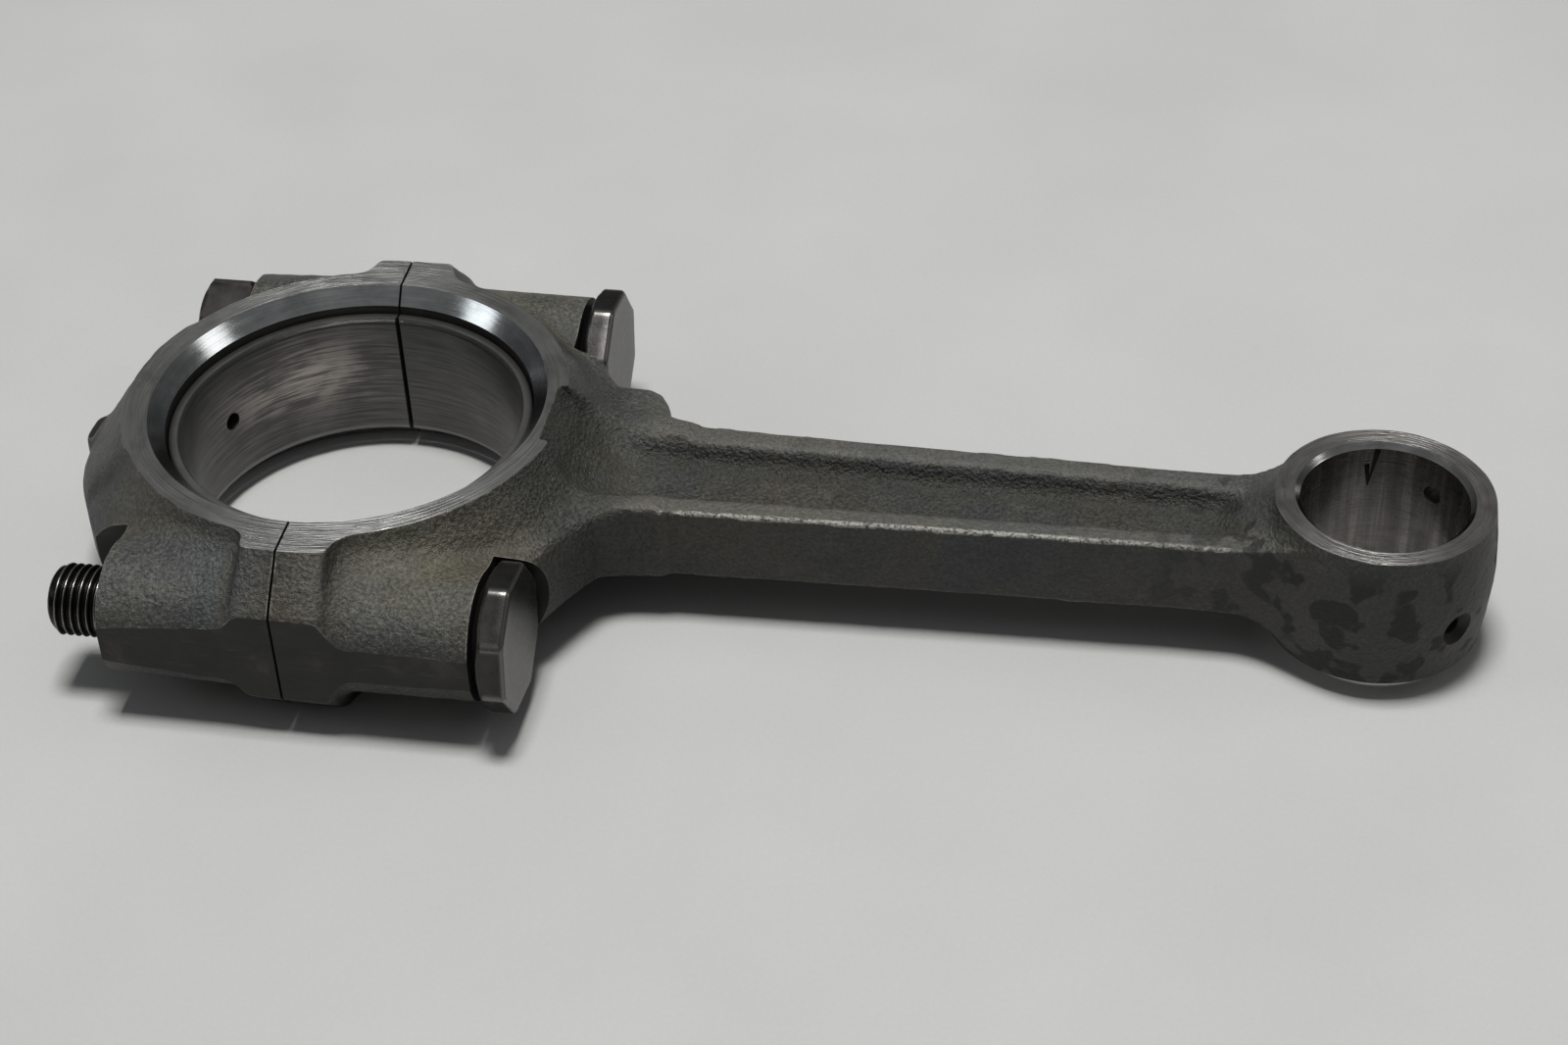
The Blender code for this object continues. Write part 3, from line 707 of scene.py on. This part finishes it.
class Finish:
    """A node material written as a chain of calls. Positions inside it are the piece's own, in millimetres."""

    def __init__(self, name, **values):
        self.mat = bpy.data.materials.new(name)
        self.mat.use_nodes = True
        self.tree = self.mat.node_tree
        self.bsdf = self.tree.nodes["Principled BSDF"]
        self.set(self.bsdf, values)
        where = self.tree.nodes.new("ShaderNodeTexCoord").outputs["Object"]
        self.mm = self.vector("SCALE", where, scale=1000.0)
        centre = (BIG_X / MM, 0.0, MID_Z / MM)
        self.at = self.vector("SUBTRACT", self.mm, centre)

    def set(self, node, values):
        for key, value in values.items():
            socket = node.inputs[key if isinstance(key, int) else key.replace("_", " ")]
            if isinstance(value, bpy.types.NodeSocket):
                self.tree.links.new(value, socket)
            else:
                socket.default_value = value

    def vector(self, operation, a, b=None, scale=None):
        node = self.tree.nodes.new("ShaderNodeVectorMath")
        node.operation = operation
        self.set(node, {0: a})
        if b is not None:
            self.set(node, {1: b})
        if scale is not None:
            node.inputs["Scale"].default_value = scale
        return node.outputs["Value" if operation == "LENGTH" else "Vector"]

    def math(self, operation, a, b=0.0, c=0.0, clamp=False):
        node = self.tree.nodes.new("ShaderNodeMath")
        node.operation = operation
        node.use_clamp = clamp
        self.set(node, {0: a, 1: b, 2: c})
        return node.outputs[0]

    def noise(self, size, detail=2.0, rough=0.5, at=None, distort=0.0):
        node = self.tree.nodes.new("ShaderNodeTexNoise")
        self.set(node, {"Vector": at or self.at, "Scale": 1.0 / size, "Detail": detail, "Roughness": rough,
                        "Distortion": distort})
        return node.outputs["Fac"]

    def cells(self, size, at=None, feature="F1"):
        node = self.tree.nodes.new("ShaderNodeTexVoronoi")
        node.feature = feature
        self.set(node, {"Vector": at or self.at, "Scale": 1.0 / size})
        return node.outputs["Distance"]

    def ramp(self, fac, stops, plain=True):
        node = self.tree.nodes.new("ShaderNodeValToRGB")
        self.set(node, {"Fac": fac})
        ramp = node.color_ramp
        while len(ramp.elements) < len(stops):
            ramp.elements.new(0.5)
        for element, (place_, colour) in zip(ramp.elements, stops):
            element.position = place_
            element.color = (*colour, 1.0) if isinstance(colour, tuple) else (colour, colour, colour, 1.0)
        return node.outputs["Color"]

    def mix(self, fac, a, b, blend="MIX"):
        node = self.tree.nodes.new("ShaderNodeMix")
        node.data_type = "RGBA"
        node.blend_type = blend
        self.set(node, {0: fac})
        for index, value in ((6, a), (7, b)):
            if isinstance(value, tuple):
                value = (*value, 1.0)
            self.set(node, {index: value})
        return node.outputs[2]

    def mask(self, name):
        node = self.tree.nodes.new("ShaderNodeAttribute")
        node.attribute_name = name
        return node.outputs["Fac"]

    def steep(self):
        """One on upright faces, zero on faces that look up or down."""
        node = self.tree.nodes.new("ShaderNodeSeparateXYZ")
        self.set(node, {0: self.tree.nodes.new("ShaderNodeTexCoord").outputs["Normal"]})
        return self.ramp(self.math("ABSOLUTE", node.outputs[2]), [(0.28, 1.0), (0.72, 0.0)])

    def polar(self, centre):
        """Radius, angle and height about an upright axis."""
        node = self.tree.nodes.new("ShaderNodeSeparateXYZ")
        self.set(node, {0: self.vector("SUBTRACT", self.at, centre)})
        x, y, z = node.outputs
        radius = self.math("SQRT", self.math("ADD", self.math("MULTIPLY", x, x), self.math("MULTIPLY", y, y)))
        return radius, self.math("ARCTAN2", y, x), z

    def join(self, x, y, z):
        node = self.tree.nodes.new("ShaderNodeCombineXYZ")
        self.set(node, {0: x, 1: y, 2: z})
        return node.outputs[0]

    def bump(self, height, depth_mm, under=None, strength=1.0):
        node = self.tree.nodes.new("ShaderNodeBump")
        self.set(node, {"Height": height, "Distance": depth_mm * MM, "Strength": strength})
        if under is not None:
            self.set(node, {"Normal": under})
        return node.outputs["Normal"]

    def done(self, **values):
        self.set(self.bsdf, values)
        return self.mat


def forged_finish(name, tint):
    m = Finish(name, Metallic=0.05, Specular_IOR_Level=0.6)
    broad = m.noise(17.0, 3.0, 0.55, distort=0.6)
    patch = m.noise(4.5, 4.0, 0.6)
    grain = m.noise(0.46, 3.0, 0.6)
    fine = m.noise(0.17, 2.0, 0.6)
    shade = m.ramp(broad, [(0.34, (0.060, 0.064, 0.066)), (0.46, (0.071, 0.072, 0.068)), (0.56, (0.082, 0.079, 0.066)),
                           (0.68, (0.086, 0.079, 0.061))])
    shade = m.mix(0.5, shade, m.ramp(patch, [(0.32, 0.65), (0.5, 0.97), (0.7, 1.25)]), "MULTIPLY")
    shade = m.mix(0.72, shade, m.ramp(grain, [(0.36, 0.45), (0.5, 0.95), (0.64, 1.75)]), "MULTIPLY")
    shade = m.mix(1.0, shade, tint, "MULTIPLY")
    hollow = m.mask("hollow")
    shade = m.mix(m.math("MULTIPLY", hollow, 0.55), shade, (0.062, 0.058, 0.044))
    shade = m.mix(m.math("MULTIPLY", m.mask("trough"), 0.8), shade, (0.66, 0.68, 0.70), "MULTIPLY")
    shade = m.mix(m.math("MULTIPLY", m.mask("cool"), 0.85), shade, (0.66, 0.72, 0.80), "MULTIPLY")
    shade = m.mix(m.math("MULTIPLY", m.mask("seep"), 0.8), shade, (0.62, 0.58, 0.50), "MULTIPLY")
    # lighter, warmer tone on the bolt bosses beside the heads, on their upper and lower parts
    shade = m.mix(m.math("MULTIPLY", m.mask("boss_pale"), 0.8), shade, (1.42, 1.38, 1.22), "MULTIPLY")
    shade = m.mix(m.math("MULTIPLY", m.mask("flange"), 0.42), shade, (0.135, 0.132, 0.118))
    # painted shade: upright faces of the forging are darkened in the colour
    shade = m.mix(m.math("MULTIPLY", m.steep(), 0.95), shade, (0.54, 0.54, 0.545), "MULTIPLY")
    # bright metal where the edges have rubbed, broken up into specks; partly a painted highlight, strongest on upper
    # edges and on the shank's -y side
    speck = m.ramp(m.noise(0.42, 4.0, 0.65), [(0.40, 0.0), (0.52, 1.0)])
    line = m.ramp(m.mask("edge"), [(0.60, 0.0), (0.84, 1.0)])
    worn = m.math("MULTIPLY", m.math("MULTIPLY", line, m.mask("rubbed_and_lit")), speck, clamp=True)
    rim = m.math("MULTIPLY", m.mask("rim"), m.ramp(m.noise(1.6, 3.0, 0.6), [(0.42, 0.1), (0.62, 0.9)]), clamp=True)
    worn = m.math("MAXIMUM", m.math("MULTIPLY", worn, 0.9), m.math("MULTIPLY", rim, 0.5))
    shade = m.mix(worn, shade, (0.40, 0.39, 0.35))
    blot = m.math("MULTIPLY", m.mask("oil"), m.ramp(m.noise(3.6, 2.0, 0.45, distort=0.3), [(0.535, 0.0), (0.585, 1.0)]))
    shade = m.mix(m.math("MULTIPLY", m.mask("oil"), 0.3), shade, (0.045, 0.042, 0.036))
    shade = m.mix(m.math("MULTIPLY", blot, 0.92), shade, (0.008, 0.008, 0.007))
    rough = m.math("ADD", m.math("MULTIPLY", grain, 0.3), 0.30)
    rough = m.math("SUBTRACT", rough, m.math("MULTIPLY", worn, 0.2))
    rough = m.math("ADD", rough, m.math("MULTIPLY", blot, 0.15))
    dents = m.bump(m.cells(0.9), 0.14, strength=0.8)
    coarse = m.math("ADD", m.math("MULTIPLY", m.math("MAXIMUM", m.mask("trough"), m.mask("cool")), 1.1), 1.0)
    bumps = m.bump(m.math("MULTIPLY", grain, coarse), 0.28, dents)
    bumps = m.bump(fine, 0.10, bumps)
    return m.done(Base_Color=shade, Roughness=rough, Normal=bumps)


def turned_finish(name, centre, colour, rough, ring=0.2, metallic=0.9, marks=0.4, depth=0.16, stain=1.0, scuffs=0.3,
                  streaks_and_reflection=0.0):
    """A face turned on a lathe: fine rings about the bore, faint scuffs across them and a little stain."""
    m = Finish(name, Metallic=metallic)
    radius, angle, height = m.polar(centre)
    rings = m.noise(1.0, 3.0, 0.6, at=m.join(m.math("DIVIDE", radius, ring), m.math("MULTIPLY", angle, 1.5),
                                             m.math("DIVIDE", height, ring)))
    arcs = m.noise(1.0, 3.0, 0.6, at=m.join(m.math("DIVIDE", radius, 0.9), m.math("MULTIPLY", angle, 4.0),
                                            m.math("DIVIDE", height, 0.9)))
    cloud = m.noise(6.0, 4.0, 0.6, distort=0.4)
    scuff = m.noise(1.0, 4.0, 0.7, at=m.vector("MULTIPLY", m.at, (0.25, 2.2, 2.2)))
    shade = m.mix(0.7, colour, m.ramp(cloud, [(0.3, 0.62), (0.5, 0.95), (0.7, 1.2)]), "MULTIPLY")
    shade = m.mix(marks, shade, m.ramp(rings, [(0.3, 0.72), (0.5, 1.0), (0.7, 1.28)]), "MULTIPLY")
    shade = m.mix(0.35, shade, m.ramp(arcs, [(0.3, 0.75), (0.7, 1.2)]), "MULTIPLY")
    shade = m.mix(m.ramp(cloud, [(0.58, 0.0), (0.78, 0.35 * stain)]), shade, (0.16, 0.125, 0.085))
    shade = m.mix(m.ramp(scuff, [(0.62, 0.0), (0.72, scuffs)]), shade, (0.5, 0.49, 0.46))
    gloss = m.math("ADD", m.math("MULTIPLY", arcs, 0.16), rough - 0.08)
    # vertical light and dark bands round the bore: partly scratch marks, partly a painted reflection
    if streaks_and_reflection:
        upright = m.noise(1.0, 3.0, 0.6, at=m.join(m.math("MULTIPLY", angle, 4.6), m.math("MULTIPLY", height, 0.02), 0.0))
        shade = m.mix(streaks_and_reflection, shade, m.ramp(upright, [(0.36, 0.35), (0.5, 0.85), (0.58, 1.9), (0.68, 1.0)]), "MULTIPLY")
    return m.done(Base_Color=shade, Roughness=gloss, Normal=m.bump(rings, depth))


def shell_finish(name, worn):
    m = Finish(name, Metallic=0.85)
    radius, angle, height = m.polar((0.0, 0.0, 0.0))
    around = m.math("MULTIPLY", angle, 21.4)
    streak = m.noise(1.0, 4.0, 0.65, at=m.join(m.math("MULTIPLY", around, 0.12), m.math("MULTIPLY", height, 2.6), 0.0))
    fine = m.noise(1.0, 3.0, 0.7, at=m.join(m.math("MULTIPLY", around, 0.35), m.math("MULTIPLY", height, 9.0), 0.0))
    cloud = m.noise(9.0, 3.0, 0.5, distort=0.4)
    scratch = m.noise(1.0, 3.0, 0.7, at=m.join(m.math("MULTIPLY", around, 0.06), m.math("MULTIPLY", height, 3.4), 4.0))
    shade = m.ramp(streak, [(0.3, (0.088, 0.087, 0.088)), (0.5, (0.122, 0.120, 0.120)), (0.72, (0.175, 0.171, 0.168))])
    shade = m.mix(0.6, shade, m.ramp(cloud, [(0.32, 0.7), (0.55, 1.0), (0.7, 1.25)]), "MULTIPLY")
    # the loaded part of the shell is rubbed through to a lighter, browner metal
    patch = m.math("MULTIPLY", m.mask("rub"), m.ramp(m.math("ADD", m.math("MULTIPLY", cloud, 0.5),
                                                            m.math("MULTIPLY", streak, 0.6)), [(0.49, 0.12), (0.60, 1.0)]))
    shade = m.mix(m.math("MULTIPLY", patch, worn), shade, (0.50, 0.455, 0.42))
    shade = m.mix(m.ramp(scratch, [(0.60, 0.0), (0.66, 0.3)]), shade, (0.05, 0.048, 0.047))
    lip = m.math("GREATER_THAN", m.math("ABSOLUTE", height), 8.3)
    shade = m.mix(m.math("MULTIPLY", lip, 0.35), shade, (0.36, 0.35, 0.34))
    rough = m.math("ADD", m.math("MULTIPLY", fine, 0.22), 0.24)
    return m.done(Base_Color=shade, Roughness=rough, Normal=m.bump(fine, 0.01, strength=0.7))


def fastener_finish(name, colour, rough, bright):
    m = Finish(name, Metallic=0.85)
    cloud = m.noise(3.5, 4.0, 0.6)
    fine = m.noise(0.35, 3.0, 0.6)
    shade = m.mix(0.8, colour, m.ramp(cloud, [(0.3, 0.6), (0.5, 1.0), (0.72, 1.4)]), "MULTIPLY")
    shade = m.mix(m.ramp(m.noise(2.4, 3.0, 0.5), [(0.62, 0.0), (0.74, 0.35)]), shade, (0.10, 0.055, 0.032))
    # painted shade: thread flanks and roots darkened almost to black
    shade = m.mix(m.math("MULTIPLY", m.mask("hollow"), 0.9), shade, (0.012, 0.012, 0.012))
    # painted highlight: thread crests and the head's edges lightened
    shade = m.mix(m.math("MULTIPLY", m.mask("edge"), bright), shade, (0.42, 0.40, 0.37))
    gloss = m.math("ADD", m.math("MULTIPLY", cloud, 0.14), rough - 0.06)
    return m.done(Base_Color=shade, Roughness=gloss, Normal=m.bump(fine, 0.02, strength=0.6))


forged = forged_finish("forged_skin", (1.0, 1.0, 0.97))
finishes = {
    FORGED: forged,
    TURNED: turned_finish("turned_face", (0.0, 0.0, 0.0), (0.29, 0.29, 0.283), 0.38),
    BRIGHT: turned_finish("bright_chamfer", (0.0, 0.0, 0.0), (0.52, 0.53, 0.53), 0.17, ring=0.3, metallic=1.0,
                          marks=0.3, depth=0.012),
    EYE_FACE: turned_finish("eye_face", (CENTRES, 0.0, 0.0), (0.26, 0.253, 0.243), 0.38),
    EYE_CHAMFER: turned_finish("eye_chamfer", (CENTRES, 0.0, 0.0), (0.46, 0.46, 0.45), 0.17, ring=0.3, metallic=1.0,
                               marks=0.3, depth=0.014),
    BORE: turned_finish("pin_bore", (CENTRES, 0.0, 0.0), (0.20, 0.19, 0.182), 0.28, ring=0.16, depth=0.02, stain=0.3,
                        streaks_and_reflection=0.45),
    MILLED: turned_finish("milled_face", (0.0, 0.0, 0.0), (0.031, 0.030, 0.028), 0.5, ring=0.5,
                          metallic=0.3, depth=0.01, scuffs=0.06),
}
for part_body in (rod, cap):
    for kind in range(7):
        part_body.data.materials.append(finishes[kind])
    sort_faces(part_body)
shell_rod.data.materials.append(shell_finish("shell_metal_rod", 0.25))
shell_cap.data.materials.append(shell_finish("shell_metal_cap", 0.95))
for shell in (shell_rod, shell_cap):
    shell.data.shade_smooth()
    shell.data.set_sharp_from_angle(angle=math.radians(50))
steel = fastener_finish("bolt_metal", (0.058, 0.056, 0.054), 0.27, 0.7)
for fastener in (bolt_near, bolt_far):
    fastener.data.materials.append(steel)
nut_far.data.materials.append(fastener_finish("nut_metal", (0.06, 0.058, 0.055), 0.36, 0.6))


# ------------------------------------------------------------------ what rides on what

PIECES = (
    (rod, "rod", "rod_forging", "forged_steel"),
    (cap, "cap", "bearing_cap", "forged_steel"),
    (shell_rod, "rod", "bearing_shell_rod", "bearing_metal"),
    (shell_cap, "cap", "bearing_shell_cap", "bearing_metal"),
    (bolt_near, "bolt_near", "rod_bolt_near", "bolt_steel"),
    (bolt_far, "bolt_far", "rod_bolt_far", "bolt_steel"),
    (nut_far, "nut_far", "rod_nut_far", "nut_steel"),
)
for piece, body, node, slot in PIECES:
    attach(piece, body)
    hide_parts(node)


# ------------------------------------------------------------------ floor, light and camera

floor = slab("floor", (-4000, -4000, -1.0), (4000, 4000, 0.0))
floor.data.transform(Matrix.Translation((-BIG_X, 0.0, -MID_Z)))
cloth = Finish("floor_cloth", Roughness=0.9)
folds = cloth.noise(38.0, 3.0, 0.5)
fibre = cloth.noise(0.6, 4.0, 0.7)
tone = cloth.mix(0.5, (0.49, 0.49, 0.484), cloth.ramp(folds, [(0.3, 0.93), (0.7, 1.05)]), "MULTIPLY")
tone = cloth.mix(0.5, tone, cloth.ramp(fibre, [(0.3, 0.95), (0.7, 1.04)]), "MULTIPLY")
floor.data.materials.append(cloth.done(Base_Color=tone, Normal=cloth.bump(fibre, 0.05, cloth.bump(folds, 2.0, strength=0.4),
                                                                         0.5)))


def aim(obj, target, roll=0.0):
    way = Vector(target) - obj.location
    turn = way.to_track_quat("-Z", "Y").to_matrix().to_4x4() @ Matrix.Rotation(math.radians(roll), 4, "Z")
    obj.rotation_euler = turn.to_euler()


def softbox(name, at, size, watts, colour=(1.0, 1.0, 1.0)):
    lamp = bpy.data.lights.new(name, "AREA")
    lamp.shape = "RECTANGLE"
    lamp.size, lamp.size_y = size
    lamp.energy = watts
    lamp.color = colour
    obj = bpy.data.objects.new(name, lamp)
    bpy.context.scene.collection.objects.link(obj)
    obj.location = at
    aim(obj, (0.0, 0.0, 0.012))


softbox("key", (0.0, -0.06, 1.10), (0.26, 0.26), 11.3, (1.0, 0.995, 0.98))
softbox("side_right", (0.80, 0.17, 0.58), (0.26, 0.26), 0.40, (1.0, 1.0, 1.0))
softbox("side_left", (-0.87, -0.24, 0.49), (0.26, 0.26), 0.40, (0.93, 0.97, 1.0))

world = bpy.data.worlds.new("room")
bpy.context.scene.world = world
world.use_nodes = True
tree = world.node_tree
sky = tree.nodes.new("ShaderNodeTexCoord")
split = tree.nodes.new("ShaderNodeSeparateXYZ")
ramp = tree.nodes.new("ShaderNodeValToRGB")
tree.links.new(sky.outputs["Generated"], split.inputs[0])
tree.links.new(split.outputs[2], ramp.inputs["Fac"])
ramp.color_ramp.elements[0].position = 0.0
ramp.color_ramp.elements[0].color = (0.16, 0.165, 0.17, 1.0)
ramp.color_ramp.elements[1].position = 0.8
ramp.color_ramp.elements[1].color = (0.78, 0.79, 0.80, 1.0)
tree.links.new(ramp.outputs["Color"], tree.nodes["Background"].inputs["Color"])
tree.nodes["Background"].inputs["Strength"].default_value = 0.27

lens = bpy.data.cameras.new("camera")
lens.lens = 66.8
lens.sensor_width = 36.0
lens.clip_start = 0.01
camera = bpy.data.objects.new("camera", lens)
bpy.context.scene.collection.objects.link(camera)
camera.location = (0.0558, -0.2780, 0.2374)
aim(camera, (0.00234, -0.0030, 0.012), CAMERA_ROLL)
bpy.context.scene.camera = camera
view = bpy.context.scene.view_settings
view.view_transform = "Standard"
view.gamma = 0.90
view.exposure = 0.10
